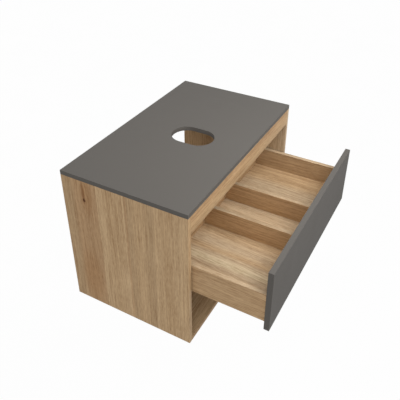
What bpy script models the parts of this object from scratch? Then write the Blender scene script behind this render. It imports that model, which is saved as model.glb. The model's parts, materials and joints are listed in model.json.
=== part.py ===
"""Wall-hung bathroom vanity base: oak-decor carcass, grey top with a waste cut-out, one open drawer.

Lengths are in metres. Inside the script X is measured from the centre line, Y from the wall
plane towards the room (negative in front of the wall) and Z from the underside of the carcass.
The empty "vanity" drops everything so that the world origin is the middle of the back rail's
rear face, where the unit bears on the wall. The drawer and the middle rails are drawn closed
and their empties hold them open.
"""

import math

import bmesh
import bpy
from mathutils import Matrix, Vector

# --- Driving dimensions -------------------------------------------------------------------

WIDTH = 0.800
DEPTH = 0.480
HEIGHT = 0.550
BOARD = 0.016
FIT = 0.0003  # clearance between pieces that touch

SIDE_FACE = WIDTH / 2 - BOARD  # inner face of a side panel, from the centre line
TOP_UNDERSIDE = HEIGHT - BOARD

CUTOUT_WIDTH = 0.112
CUTOUT_LENGTH = 0.161
CUTOUT_Y = -0.2675
ARC_STEPS = 24

FRONT_RAIL_HEIGHT = 0.065
BACK_RAIL_LOW = 0.404
BACK_RAIL_HIGH = 0.469
HANG_HEIGHT = (BACK_RAIL_LOW + BACK_RAIL_HIGH) / 2

NICHE_BACK = 0.008
NICHE_BACK_Y = -0.022
NICHE_TOP = 0.197
GROOVE = 0.006

DRAWER_OPEN = 0.2665  # how far the drawer stands out of the carcass at rest
FRONT_BOARD = 0.018
FRONT_GAP = 0.0026
FRONT_LOW = 0.197
FRONT_HIGH = 0.430
BOX_HALF_WIDTH = 0.3794
BOX_LENGTH = 0.3765
BOX_LOW = 0.229
BOX_HIGH = 0.3385
FLOOR_HIGH = 0.2587
DIVIDER_FACE = 0.077  # inner face of a divider, from the centre line

CAM_RADIUS = 0.0075
CAM_THICKNESS = 0.0125
CAM_INSET = 0.034  # from the board's edge to the cam's centre
CAM_BORE = 0.0038
CAM_SLOT = (0.009, 0.0016, 0.0016)
BOLT_HEAD = 0.0035  # radii of the bolt's head, stem, neck, thread and tip
BOLT_STEM = 0.0030
BOLT_NECK = 0.0022
BOLT_THREAD = 0.0027
BOLT_TIP = 0.0016
BOLT_HEAD_HEIGHT = 0.0035
BOLT_HEAD_CHAMFER = 0.0009
BOLT_NECK_LENGTH = 0.0052
BOLT_SHOULDER = 0.0018  # length of the taper from the stem to the neck
BOLT_THREAD_LENGTH = 0.011
BOTTOM_CAMS_Y = (-0.060, -0.420)
TOP_CAMS_Y = (-0.110, -0.420)
SMALL_STEPS = 16
ROUND_STEPS = 24
PIVOT_STEPS = 32
SMOOTH_ANGLE = math.radians(30)

RUNNER_LENGTH = 0.372
RUNNER_FRONT_Y = -0.458
SHEET = 0.0015
CABINET_RAIL_LOW = 0.206
CABINET_RAIL_FLANGE = 0.238
CABINET_RAIL_LIP = 0.2215
CABINET_RAIL_WIDTH = 0.0500
MIDDLE_RAIL = (0.0265, 0.0435, 0.2088, 0.2396)  # inset from and to, height from and to
RUNNING_GROOVE = 0.0030  # depth of the groove down each flank of the middle rail
DRAWER_RAIL = (0.0225, 0.0475, 0.2262)  # inset from and to, height of its lower edges

CLIP = (0.0515, 0.0830, 0.2290)  # inset from and to, height of its underside
CLIP_LENGTH = 0.058
CLIP_GAP = 0.0008  # behind the drawer front
CLIP_PIN_RADIUS = 0.0020
CLIP_PIN_CLEARANCE = 0.0001
CLIP_PIN_INSET = 0.0595
CLIP_PIN_SETBACK = 0.009
CLIP_PIN_LENGTH = 0.0070
LEVER_THICKNESS = 0.0050
LEVER_LENGTH = 0.052
LEVER_EYE = 0.0060
LEVER_WIDTH = 0.0065
LEVER_PAD = (0.016, 0.014)  # width and length of the finger pad

HANGER = (0.0180, 0.0550, 0.0500)  # outwards from the side, front to back, height
HANGER_REAR_Y = -0.014
HANGER_LOW = 0.478
HANGER_SLOT = (0.0054, 0.0270)  # width and height of the channel for the hook
HANGER_FRONT_WALL = 0.0030
HOOK_THICKNESS = 0.0040
HOOK_ARM = 0.0120
HOOK_TIP_Y = -0.0030
HOOK_FRONT_Y = -0.0640
HOOK_DROP = 0.0110
HOOK_LIP = 0.0040
HOOK_NOTCH_TOP = 0.0020  # how far the notch for the wall rail goes up into the arm
HOOK_NOTCH_RUN = 0.0020  # how far behind the housing's rear end it starts
HOOK_CROWN = 0.0040
HOOK_CROWN_STEPS = 4
ADJUSTER_RADIUS = 0.0024
ADJUSTER_LENGTH = 0.014
ADJUSTER_HEAD = 0.0040
ADJUSTER_HEAD_LENGTH = 0.0022
DRIVE_DEPTH = 0.0012
DRIVE_WIDTH = 0.0012
DRIVE_REACH = 0.55  # half the length of a cross slot, as a share of the head's radius
SCREW_TIP = 0.5  # radius of a screw's tip, as a share of its shank's
SCREW_RIM = 0.6  # height of a head's straight rim, as a share of the head's
SCREW_CROWN = 0.75  # radius of a head's flat top, as a share of the head's

FRONT_SCREWS_X = (-0.235, 0.0, 0.235)
FRONT_SCREW_Z = 0.298
FRONT_SCREW_SHANK = 0.0020
FRONT_SCREW_LENGTH = 0.027
FRONT_SCREW_HEAD = 0.0042
FRONT_SCREW_HEAD_HEIGHT = 0.0024

OVERRUN = 0.002  # how far a cutter passes the face that it opens

SIDES = (("left", -1), ("right", 1))
X_AXIS = Vector((1, 0, 0))
Y_AXIS = Vector((0, 1, 0))
Z_AXIS = Vector((0, 0, 1))


# --- Scene, materials and objects ---------------------------------------------------------


def clear_scene():
    for old in list(bpy.data.objects):
        bpy.data.objects.remove(old, do_unlink=True)


def make_material(name, colour, roughness, metallic=0.0):
    made = bpy.data.materials.new(name)
    made.use_nodes = True
    shader = made.node_tree.nodes["Principled BSDF"]
    shader.inputs["Base Color"].default_value = (*colour, 1.0)
    shader.inputs["Roughness"].default_value = roughness
    shader.inputs["Metallic"].default_value = metallic
    return made


def make_materials():
    return {
        "oak": ((0.402, 0.262, 0.147), 0.55, 0.0),
        "grey": ((0.156, 0.147, 0.136), 0.60, 0.0),
        "steel": ((0.60, 0.60, 0.61), 0.35, 1.0),
        "zinc": ((0.52, 0.52, 0.50), 0.45, 1.0),
        "plastic": ((0.09, 0.09, 0.10), 0.50, 0.0),
    }


def add_empty(name, parent=None, location=(0, 0, 0)):
    made = bpy.data.objects.new(name, None)
    bpy.context.scene.collection.objects.link(made)
    made.parent = parent
    made.location = location
    return made


def add_object(name, mesh, look, parent, place):
    """An object with its own material, set in its parent's frame by the matrix `place`."""
    made = bpy.data.objects.new(name, mesh)
    bpy.context.scene.collection.objects.link(made)
    made.parent = parent
    made.matrix_local = place
    colour, roughness, metallic = LOOKS[look]
    made.data.materials.clear()
    made.data.materials.append(make_material(name, colour, roughness, metallic))
    return made


def frame_at(location, x_axis=X_AXIS, z_axis=Z_AXIS):
    """The matrix of a frame at `location` whose own X and Z lie along two square directions."""
    x_axis = Vector(x_axis).normalized()
    z_axis = Vector(z_axis).normalized()
    y_axis = z_axis.cross(x_axis)
    turn = Matrix((x_axis, y_axis, z_axis)).transposed()
    return Matrix.Translation(Vector(location)) @ turn.to_4x4()


# --- Meshes -------------------------------------------------------------------------------


def mesh_from(name, build):
    """A mesh that `build` draws in a bmesh, with its faces turned outwards."""
    made = bpy.data.meshes.new(name)
    work = bmesh.new()
    build(work)
    bmesh.ops.recalc_face_normals(work, faces=work.faces)
    work.to_mesh(made)
    work.free()
    return made


def box_mesh(name, low, high):
    def build(work):
        low_corner, high_corner = Vector(low), Vector(high)
        size = high_corner - low_corner
        shape = Matrix.Diagonal((*size, 1.0))
        shape = Matrix.Translation((low_corner + high_corner) / 2) @ shape
        bmesh.ops.create_cube(work, size=1.0, matrix=shape)

    return mesh_from(name, build)


def prism_mesh(name, outline, low, high):
    """The outline, a list of (x, y) points, extruded along Z from `low` to `high`."""

    def build(work):
        points = [work.verts.new((x, y, low)) for x, y in outline]
        base = work.faces.new(points)
        grown = bmesh.ops.extrude_face_region(work, geom=[base])["geom"]
        raised = [item for item in grown if isinstance(item, bmesh.types.BMVert)]
        bmesh.ops.translate(work, verts=raised, vec=(0, 0, high - low))

    return mesh_from(name, build)


def turned_mesh(name, profile, steps):
    """A solid of revolution about Z; the profile is a list of (radius, height) from end to end."""

    def build(work):
        angles = [math.tau * step / steps for step in range(steps)]
        rings = []
        for radius, height in profile:
            ring = [(radius * math.cos(a), radius * math.sin(a), height) for a in angles]
            rings.append([work.verts.new(point) for point in ring])
        for lower, upper in zip(rings, rings[1:]):
            for step in range(steps):
                after = (step + 1) % steps
                work.faces.new((lower[step], lower[after], upper[after], upper[step]))
        work.faces.new(rings[0])
        work.faces.new(rings[-1])

    made = mesh_from(name, build)
    made.shade_smooth()
    made.set_sharp_from_angle(angle=SMOOTH_ANGLE)
    return made


def rod_mesh(name, radius, low, high, steps=ROUND_STEPS):
    return turned_mesh(name, [(radius, low), (radius, high)], steps)


def arc(centre, radius, start, end, steps):
    """Points on an arc, both ends included, with the angles in radians."""
    angles = [start + (end - start) * step / steps for step in range(steps + 1)]
    return [(centre[0] + radius * math.cos(a), centre[1] + radius * math.sin(a)) for a in angles]


# --- Cutting ------------------------------------------------------------------------------


def combine(piece, mesh, parent, place, operation):
    """Cuts the mesh, set in the parent's frame, out of the piece, or joins it on."""
    helper = bpy.data.objects.new(f"helper_{mesh.name}", mesh)
    bpy.context.scene.collection.objects.link(helper)
    helper.parent = parent
    helper.matrix_local = place
    helper.hide_render = True
    helper.display_type = "WIRE"
    made = piece.modifiers.new(mesh.name, "BOOLEAN")
    made.operation = operation
    made.solver = "EXACT"
    made.object = helper


def cut(piece, mesh, parent, place):
    combine(piece, mesh, parent, place, "DIFFERENCE")


def join(piece, mesh, parent, place):
    combine(piece, mesh, parent, place, "UNION")


def cut_mesh(mesh, *cutters):
    """A copy of the mesh with the cutters' meshes taken out, all in one frame."""
    whole = bpy.data.objects.new(mesh.name, mesh)
    bpy.context.scene.collection.objects.link(whole)
    helpers = []
    for number, cutter_mesh in enumerate(cutters):
        helper = bpy.data.objects.new(f"helper_{number}", cutter_mesh)
        bpy.context.scene.collection.objects.link(helper)
        made = whole.modifiers.new(helper.name, "BOOLEAN")
        made.operation = "DIFFERENCE"
        made.solver = "EXACT"
        made.object = helper
        helpers.append(helper)
    bpy.context.view_layer.update()
    graph = bpy.context.evaluated_depsgraph_get()
    result = bpy.data.meshes.new_from_object(whole.evaluated_get(graph))
    for used in [whole, *helpers]:
        bpy.data.objects.remove(used, do_unlink=True)
    return result


# --- Carcass ------------------------------------------------------------------------------


def add_board(name, low, high, look, parent):
    """A board between two opposite corners, with its origin at its middle."""
    middle = (Vector(low) + Vector(high)) / 2
    mesh = box_mesh(name, Vector(low) - middle, Vector(high) - middle)
    return add_object(name, mesh, look, parent, Matrix.Translation(middle))


def stadium(width, length):
    """The outline of the cut-out: two straight sides along Y and two half-round ends."""
    radius = width / 2
    straight = length / 2 - radius
    front_end = arc((0, -straight), radius, math.pi, math.tau, ARC_STEPS)
    back_end = arc((0, straight), radius, 0, math.pi, ARC_STEPS)
    return front_end + back_end


def add_countertop(carcass):
    half = WIDTH / 2
    top = add_board("countertop", (-half, -DEPTH, TOP_UNDERSIDE), (half, 0, HEIGHT), "grey", carcass)
    hole = prism_mesh("waste_hole", stadium(CUTOUT_WIDTH, CUTOUT_LENGTH), -OVERRUN, BOARD + OVERRUN)
    cut(top, hole, carcass, Matrix.Translation((0, CUTOUT_Y, TOP_UNDERSIDE)))
    return top


def add_side_panels(carcass):
    panels = {}
    for side, sign in SIDES:
        inner, outer = sign * SIDE_FACE, sign * WIDTH / 2
        low = (min(inner, outer), -DEPTH, 0)
        high = (max(inner, outer), 0, TOP_UNDERSIDE - FIT)
        panels[side] = add_board(f"side_panel_{side}", low, high, "oak", carcass)
    return panels


def add_cross_boards(carcass):
    """The bottom and the two rails, which span between the side panels."""
    reach = SIDE_FACE - FIT
    rail_low = TOP_UNDERSIDE - FRONT_RAIL_HEIGHT
    corners = {
        "bottom_panel": ((-reach, -DEPTH, 0), (reach, 0, BOARD)),
        "front_rail": ((-reach, -DEPTH, rail_low), (reach, BOARD - DEPTH, TOP_UNDERSIDE - FIT)),
        "back_rail": ((-reach, -BOARD, BACK_RAIL_LOW), (reach, 0, BACK_RAIL_HIGH)),
    }
    return {name: add_board(name, low, high, "oak", carcass) for name, (low, high) in corners.items()}


def add_niche_back(carcass, panels, bottom):
    """The thin back of the open niche, let into grooves in the side panels and the bottom."""
    reach = SIDE_FACE + GROOVE - FIT
    foot = BOARD - GROOVE + FIT
    front, rear = NICHE_BACK_Y, NICHE_BACK_Y + NICHE_BACK
    add_board("niche_back", (-reach, front, foot), (reach, rear, NICHE_TOP), "oak", carcass)
    for side, sign in SIDES:
        near, far = sign * (SIDE_FACE - OVERRUN), sign * (SIDE_FACE + GROOVE)
        low = (min(near, far), front - FIT, BOARD - GROOVE)
        high = (max(near, far), rear + FIT, NICHE_TOP + FIT)
        cut(panels[side], box_mesh(f"groove_{side}", low, high), carcass, Matrix())
    low = (-WIDTH / 2, front - FIT, BOARD - GROOVE)
    high = (WIDTH / 2, rear + FIT, BOARD + OVERRUN)
    cut(bottom, box_mesh("groove_bottom", low, high), carcass, Matrix())


# --- Cam fittings -------------------------------------------------------------------------


def make_cam_mesh():
    """A cam disc below its slotted face at Z 0; the bolt's head enters along X from the +X side."""
    disc = rod_mesh("cam", CAM_RADIUS, -CAM_THICKNESS, 0)
    bore = rod_mesh("cam_bore", CAM_BORE, 0, CAM_RADIUS + CAM_BORE + OVERRUN, SMALL_STEPS)
    bore.transform(frame_at((-CAM_BORE, 0, -BOARD / 2), z_axis=X_AXIS, x_axis=Y_AXIS))
    length, width, depth = CAM_SLOT
    slot = box_mesh("cam_slot", (-length / 2, -width / 2, -depth), (length / 2, width / 2, OVERRUN))
    return cut_mesh(disc, bore, slot)


def make_bolt_mesh():
    """A cam bolt along Z: its thread below Z 0, its stem and head above, the head at the cam."""
    head_low = CAM_INSET - BOLT_HEAD_HEIGHT / 2
    head_high = CAM_INSET + BOLT_HEAD_HEIGHT / 2
    neck_low = head_low - BOLT_NECK_LENGTH
    profile = [
        (BOLT_TIP, -BOLT_THREAD_LENGTH),
        (BOLT_THREAD, -BOLT_THREAD_LENGTH + BOLT_THREAD),
        (BOLT_THREAD, 0),
        (BOLT_STEM, 0),
        (BOLT_STEM, neck_low - BOLT_SHOULDER),
        (BOLT_NECK, neck_low),
        (BOLT_NECK, head_low),
        (BOLT_HEAD, head_low + BOLT_HEAD_CHAMFER),
        (BOLT_HEAD, head_high - BOLT_HEAD_CHAMFER),
        (BOLT_NECK, head_high),
    ]
    return turned_mesh("cam_bolt", profile, SMALL_STEPS)


def add_cam_fitting(label, holder, mate, carcass, joint, outwards, face):
    """A cam in the board `holder` and its bolt in the board `mate`.

    `joint` is the point on the bolt's axis where the two boards meet, `outwards` the direction
    from the cam to that joint, and `face` the normal of the holder's face that the cam lies in.
    """
    joint, outwards, face = Vector(joint), Vector(outwards), Vector(face)
    centre = joint - outwards * CAM_INSET + face * BOARD / 2
    cam_place = frame_at(centre, x_axis=outwards, z_axis=face)
    bolt_place = frame_at(joint, x_axis=face, z_axis=-outwards)
    add_object(f"cam_{label}", CAM_MESH.copy(), "zinc", carcass, cam_place)
    add_object(f"cam_bolt_{label}", BOLT_MESH.copy(), "steel", carcass, bolt_place)
    pocket = rod_mesh(f"pocket_{label}", CAM_RADIUS + FIT, -CAM_THICKNESS - FIT, OVERRUN)
    channel = rod_mesh(f"channel_{label}", BOLT_HEAD + FIT, -OVERRUN, CAM_INSET, SMALL_STEPS)
    thread_hole = BOLT_THREAD_LENGTH + 2 * FIT
    hole = rod_mesh(f"hole_{label}", BOLT_STEM + FIT, -thread_hole, OVERRUN, SMALL_STEPS)
    cut(holder, pocket, carcass, cam_place)
    cut(holder, channel, carcass, bolt_place)
    cut(mate, hole, carcass, bolt_place)


def add_carcass_fittings(carcass, top, panels, crosses):
    rail_middle = TOP_UNDERSIDE - FRONT_RAIL_HEIGHT / 2
    for side, sign in SIDES:
        panel = panels[side]
        outwards = X_AXIS * sign
        for place, y in zip(("rear", "front"), BOTTOM_CAMS_Y):
            joint = (sign * SIDE_FACE, y, BOARD / 2)
            label = f"bottom_{place}_{side}"
            add_cam_fitting(label, crosses["bottom_panel"], panel, carcass, joint, outwards, -Z_AXIS)
        joint = (sign * SIDE_FACE, BOARD / 2 - DEPTH, rail_middle)
        add_cam_fitting(f"front_rail_{side}", crosses["front_rail"], panel, carcass, joint, outwards, Y_AXIS)
        joint = (sign * SIDE_FACE, -BOARD / 2, HANG_HEIGHT)
        add_cam_fitting(f"back_rail_{side}", crosses["back_rail"], panel, carcass, joint, outwards, -Y_AXIS)
        for place, y in zip(("rear", "front"), TOP_CAMS_Y):
            joint = (sign * (SIDE_FACE + BOARD / 2), y, TOP_UNDERSIDE)
            add_cam_fitting(f"top_{place}_{side}", panel, top, carcass, joint, Z_AXIS, -outwards)


# --- Wall hangers -------------------------------------------------------------------------


def slotted_screw_mesh(name, shank, length, head, head_height):
    """A cross-slotted screw along Z: the shank below Z 0 and the head above it."""
    profile = [
        (shank * SCREW_TIP, -length),
        (shank, -length + shank),
        (shank, 0),
        (head, 0),
        (head, head_height * SCREW_RIM),
        (head * SCREW_CROWN, head_height),
    ]
    whole = turned_mesh(name, profile, SMALL_STEPS)
    reach, half = head * DRIVE_REACH, DRIVE_WIDTH / 2
    floor, above = head_height - DRIVE_DEPTH, head_height + OVERRUN
    first = box_mesh(f"{name}_slot_a", (-reach, -half, floor), (reach, half, above))
    second = box_mesh(f"{name}_slot_b", (-half, -reach, floor), (half, reach, above))
    return cut_mesh(whole, first, second)


def hook_outline():
    """The hook seen from the side, as (Y, Z): an arm whose rear end turns down behind a notch."""
    middle = HANGER_LOW + HANGER[2] / 2
    low, high = middle - HOOK_ARM / 2, middle + HOOK_ARM / 2
    notch_front = HANGER_REAR_Y + HOOK_NOTCH_RUN
    lip_front = HOOK_TIP_Y - HOOK_LIP
    crown_centre = (HOOK_TIP_Y - HOOK_CROWN, high - HOOK_CROWN)
    crown = arc(crown_centre, HOOK_CROWN, 0, math.pi / 2, HOOK_CROWN_STEPS)
    return [
        (HOOK_FRONT_Y, low),
        (notch_front, low),
        (notch_front, low + HOOK_NOTCH_TOP),
        (lip_front, low + HOOK_NOTCH_TOP),
        (lip_front, low - HOOK_DROP),
        (HOOK_TIP_Y, low - HOOK_DROP),
        *crown,
        (HOOK_FRONT_Y, high),
    ]


def add_hangers(carcass):
    """In each rear top corner a steel housing, its adjustable hook and its two adjusting screws."""
    thickness, depth, height = HANGER
    front_y = HANGER_REAR_Y - depth
    slot_width, slot_height = HANGER_SLOT
    middle = HANGER_LOW + height / 2
    screw_drop = (slot_height / 2 + height / 2) / 2  # half-way from the channel to the housing's edge
    screw_mesh = slotted_screw_mesh(
        "adjuster", ADJUSTER_RADIUS, ADJUSTER_LENGTH, ADJUSTER_HEAD, ADJUSTER_HEAD_LENGTH
    )
    for side, sign in SIDES:
        wall, room = sign * (SIDE_FACE - FIT), sign * (SIDE_FACE - FIT - thickness)
        centre = (wall + room) / 2
        low = (min(wall, room), front_y, HANGER_LOW)
        high = (max(wall, room), HANGER_REAR_Y, HANGER_LOW + height)
        housing = add_board(f"hanger_housing_{side}", low, high, "steel", carcass)
        slot_low = (centre - slot_width / 2, front_y + HANGER_FRONT_WALL, middle - slot_height / 2)
        slot_high = (centre + slot_width / 2, OVERRUN, middle + slot_height / 2)
        cut(housing, box_mesh(f"hook_slot_{side}", slot_low, slot_high), carcass, Matrix())
        plate = prism_mesh(f"hook_{side}", hook_outline(), -HOOK_THICKNESS / 2, HOOK_THICKNESS / 2)
        stand = frame_at((centre, 0, 0), x_axis=Y_AXIS, z_axis=X_AXIS)
        add_object(f"hanger_hook_{side}", plate, "steel", carcass, stand)
        for use, offset in (("height", screw_drop), ("depth", -screw_drop)):
            seat = (centre, front_y - FIT, middle + offset)
            place = frame_at(seat, x_axis=X_AXIS, z_axis=-Y_AXIS)
            add_object(f"{use}_screw_{side}", screw_mesh.copy(), "zinc", carcass, place)
            depth_of_bore = ADJUSTER_LENGTH + FIT
            bore = rod_mesh(
                f"{use}_bore_{side}", ADJUSTER_RADIUS + FIT, -depth_of_bore, OVERRUN, SMALL_STEPS
            )
            cut(housing, bore, carcass, place)


# --- Drawer -------------------------------------------------------------------------------


def add_drawer_box(drawer):
    """The decor front, and behind it a box of four walls on a floor, with two dividers."""
    front_face = -DEPTH
    back_of_front = front_face + FRONT_BOARD
    box_front, box_rear = back_of_front + FIT, back_of_front + BOX_LENGTH
    inside = BOX_HALF_WIDTH - BOARD
    inner_half = inside - FIT
    inner_front = back_of_front + BOARD
    inner_rear = box_rear - BOARD
    half_front = SIDE_FACE - FRONT_GAP
    above_floor = FLOOR_HIGH + FIT
    boards = {
        "drawer_front": ((-half_front, front_face, FRONT_LOW), (half_front, back_of_front, FRONT_HIGH)),
        "drawer_side_left": ((-BOX_HALF_WIDTH, box_front, BOX_LOW), (-inside, box_rear, BOX_HIGH)),
        "drawer_side_right": ((inside, box_front, BOX_LOW), (BOX_HALF_WIDTH, box_rear, BOX_HIGH)),
        "drawer_floor": ((-inner_half, box_front, FLOOR_HIGH - BOARD), (inner_half, box_rear, FLOOR_HIGH)),
        "drawer_inner_front": ((-inner_half, box_front, above_floor), (inner_half, inner_front, BOX_HIGH)),
        "drawer_back": ((-inner_half, inner_rear, above_floor), (inner_half, box_rear, BOX_HIGH)),
    }
    for side, sign in SIDES:
        near, far = sign * DIVIDER_FACE, sign * (DIVIDER_FACE + BOARD)
        low = (min(near, far), inner_front + FIT, above_floor)
        high = (max(near, far), inner_rear - FIT, BOX_HIGH)
        boards[f"divider_{side}"] = (low, high)
    made = {}
    for name, (low, high) in boards.items():
        look = "grey" if name == "drawer_front" else "oak"
        made[name] = add_board(name, low, high, look, drawer)
    return made


def add_front_screws(drawer, boards):
    """Three screws, one in each compartment, that pull the decor front onto the box."""
    head_seat = BOARD - DEPTH + FRONT_BOARD + FIT
    mesh = slotted_screw_mesh(
        "front_screw", FRONT_SCREW_SHANK, FRONT_SCREW_LENGTH, FRONT_SCREW_HEAD, FRONT_SCREW_HEAD_HEIGHT
    )
    bore_radius, bore_depth = FRONT_SCREW_SHANK + FIT, FRONT_SCREW_LENGTH + FIT
    for number, x in enumerate(FRONT_SCREWS_X, 1):
        place = frame_at((x, head_seat, FRONT_SCREW_Z), x_axis=X_AXIS, z_axis=Y_AXIS)
        add_object(f"front_screw_{number}", mesh.copy(), "zinc", drawer, place)
        for name in ("drawer_inner_front", "drawer_front"):
            bore = rod_mesh(f"{name}_bore_{number}", bore_radius, -bore_depth, OVERRUN, SMALL_STEPS)
            cut(boards[name], bore, drawer, place)


# --- Runners and locking clips ------------------------------------------------------------


def cabinet_rail_outline():
    """A channel with a tall flange against the side panel and a low lip towards the middle."""
    outer, inner = FIT, CABINET_RAIL_WIDTH
    return [
        (outer, CABINET_RAIL_LOW),
        (inner, CABINET_RAIL_LOW),
        (inner, CABINET_RAIL_LIP),
        (inner - SHEET, CABINET_RAIL_LIP),
        (inner - SHEET, CABINET_RAIL_LOW + SHEET),
        (outer + SHEET, CABINET_RAIL_LOW + SHEET),
        (outer + SHEET, CABINET_RAIL_FLANGE),
        (outer, CABINET_RAIL_FLANGE),
    ]


def middle_rail_outline():
    """A bar with a running groove down each flank."""
    near, far, low, high = MIDDLE_RAIL
    third = (high - low) / 3
    return [
        (near, low),
        (far, low),
        (far, low + third),
        (far - RUNNING_GROOVE, low + third),
        (far - RUNNING_GROOVE, high - third),
        (far, high - third),
        (far, high),
        (near, high),
        (near, high - third),
        (near + RUNNING_GROOVE, high - third),
        (near + RUNNING_GROOVE, low + third),
        (near, low + third),
    ]


def drawer_rail_outline():
    """A cap that lies against the drawer floor and reaches down both flanks of the middle rail."""
    near, far, low = DRAWER_RAIL
    high = FLOOR_HIGH - BOARD - FIT
    return [
        (near, low),
        (near + SHEET, low),
        (near + SHEET, high - SHEET),
        (far - SHEET, high - SHEET),
        (far - SHEET, low),
        (far, low),
        (far, high),
        (near, high),
    ]


def add_runner_member(name, outline, sign, parent):
    """An outline of (inset from the side panel, height) points swept along the slide."""
    points = [(sign * (SIDE_FACE - inset), height) for inset, height in outline]
    mesh = prism_mesh(name, points, 0, RUNNER_LENGTH)
    rear_end = (0, RUNNER_FRONT_Y + RUNNER_LENGTH, 0)
    return add_object(name, mesh, "steel", parent, frame_at(rear_end, X_AXIS, -Y_AXIS))


def clip_place(sign, inset, setback, height):
    """A point on a locking clip, by its inset from the side panel and its distance behind the front."""
    return Vector((sign * (SIDE_FACE - inset), -DEPTH + FRONT_BOARD + setback, height))


def lever_outline(sign):
    """The release lever from below, pivoting in its eye: an arm along Y that ends in a finger pad."""
    half = LEVER_WIDTH / 2
    spread = math.asin(half / LEVER_EYE)
    eye = arc((0, 0), LEVER_EYE, math.pi / 2 + spread, math.tau + math.pi / 2 - spread, ARC_STEPS)
    pad_width, pad_length = LEVER_PAD
    pad_start = LEVER_LENGTH - pad_length
    outline = [
        *eye,
        (half, pad_start),
        (pad_width - half, pad_start + half),
        (pad_width - half, LEVER_LENGTH),
        (-half, LEVER_LENGTH),
    ]
    return outline if sign < 0 else [(-x, y) for x, y in reversed(outline)]


def add_clips(drawer):
    """Under the drawer's floor, behind its front, a clip that holds each drawer rail's front end."""
    near, far, low = CLIP
    high = FLOOR_HIGH - BOARD - FIT
    lever_low = -FIT - LEVER_THICKNESS
    eye_radius = CLIP_PIN_RADIUS + CLIP_PIN_CLEARANCE
    for side, sign in SIDES:
        corner = clip_place(sign, near, CLIP_GAP, low)
        opposite = clip_place(sign, far, CLIP_GAP + CLIP_LENGTH, high)
        middle = (corner + opposite) / 2
        half = (opposite - corner) / 2
        half.x = abs(half.x)
        body_mesh = box_mesh(f"clip_{side}", -half, half)
        body = add_object(f"clip_body_{side}", body_mesh, "plastic", drawer, Matrix.Translation(middle))
        pivot = Matrix.Translation(clip_place(sign, CLIP_PIN_INSET, CLIP_PIN_SETBACK, low))
        pin = rod_mesh(f"pin_{side}", CLIP_PIN_RADIUS, -CLIP_PIN_LENGTH, OVERRUN, PIVOT_STEPS)
        join(body, pin, drawer, pivot)
        lever = prism_mesh(f"lever_{side}", lever_outline(sign), lever_low, -FIT)
        eye = rod_mesh(f"eye_{side}", eye_radius, lever_low - OVERRUN, OVERRUN, PIVOT_STEPS)
        add_object(f"clip_lever_{side}", cut_mesh(lever, eye), "plastic", drawer, pivot)


def add_runners(carcass, middle, drawer):
    for side, sign in SIDES:
        add_runner_member(f"cabinet_rail_{side}", cabinet_rail_outline(), sign, carcass)
        add_runner_member(f"middle_rail_{side}", middle_rail_outline(), sign, middle)
        add_runner_member(f"drawer_rail_{side}", drawer_rail_outline(), sign, drawer)


# --- Assembly -----------------------------------------------------------------------------


def build_vanity():
    vanity = add_empty("vanity", location=(0, 0, -HANG_HEIGHT))
    carcass = add_empty("carcass", vanity)
    middle = add_empty("middle_slide", vanity, (0, -DRAWER_OPEN / 2, 0))
    drawer = add_empty("drawer_slide", vanity, (0, -DRAWER_OPEN, 0))
    top = add_countertop(carcass)
    panels = add_side_panels(carcass)
    crosses = add_cross_boards(carcass)
    add_niche_back(carcass, panels, crosses["bottom_panel"])
    add_carcass_fittings(carcass, top, panels, crosses)
    add_hangers(carcass)
    boards = add_drawer_box(drawer)
    add_front_screws(drawer, boards)
    add_runners(carcass, middle, drawer)
    add_clips(drawer)


clear_scene()
LOOKS = make_materials()
CAM_MESH = make_cam_mesh()
BOLT_MESH = make_bolt_mesh()
build_vanity()
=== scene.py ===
"""Looks of the wall-hung vanity base: oak-decor boards, grey laminate, and the metal and plastic fittings.

Lengths are in metres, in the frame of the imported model: +Z up, the wall at Y 0 and the room at -Y.
"""

import json
import math

import bmesh
import bpy
from mathutils import Matrix, Vector

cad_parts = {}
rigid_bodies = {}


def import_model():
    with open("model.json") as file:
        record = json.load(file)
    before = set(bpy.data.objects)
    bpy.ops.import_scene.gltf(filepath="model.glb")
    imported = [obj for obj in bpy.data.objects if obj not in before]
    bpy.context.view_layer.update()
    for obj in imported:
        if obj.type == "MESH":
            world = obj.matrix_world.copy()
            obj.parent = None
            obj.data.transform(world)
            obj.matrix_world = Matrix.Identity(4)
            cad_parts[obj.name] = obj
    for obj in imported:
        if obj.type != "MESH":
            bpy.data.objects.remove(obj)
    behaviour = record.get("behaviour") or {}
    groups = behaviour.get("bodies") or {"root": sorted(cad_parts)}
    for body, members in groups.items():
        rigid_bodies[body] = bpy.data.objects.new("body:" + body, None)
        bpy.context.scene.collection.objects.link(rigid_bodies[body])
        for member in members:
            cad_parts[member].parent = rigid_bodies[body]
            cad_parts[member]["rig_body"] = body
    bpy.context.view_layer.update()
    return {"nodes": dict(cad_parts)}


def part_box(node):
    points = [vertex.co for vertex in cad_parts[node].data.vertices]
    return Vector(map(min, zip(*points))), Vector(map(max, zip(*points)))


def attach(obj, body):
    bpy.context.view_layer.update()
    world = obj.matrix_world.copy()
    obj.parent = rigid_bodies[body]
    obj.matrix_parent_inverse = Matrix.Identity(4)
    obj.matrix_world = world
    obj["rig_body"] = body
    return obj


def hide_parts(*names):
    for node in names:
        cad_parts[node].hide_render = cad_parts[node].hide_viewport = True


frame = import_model()

# --- Places read from the frame ---

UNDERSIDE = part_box("side_panel_left")[0].z
BODY_OF = {node: thing["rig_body"] for node, thing in frame["nodes"].items()}

# --- Camera, light and floor ---

CAMERA_PLACE = (-1.42963, -1.09383, 1.06982)
CAMERA_AZIMUTH = 60.71  # degrees from +Y towards +X
CAMERA_TILT = 31.22  # degrees below the horizon
CAMERA_ROLL = 0.08  # degrees
LENS = 47.957  # millimetres
SHIFT = (0.00272, -0.13387)

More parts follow.
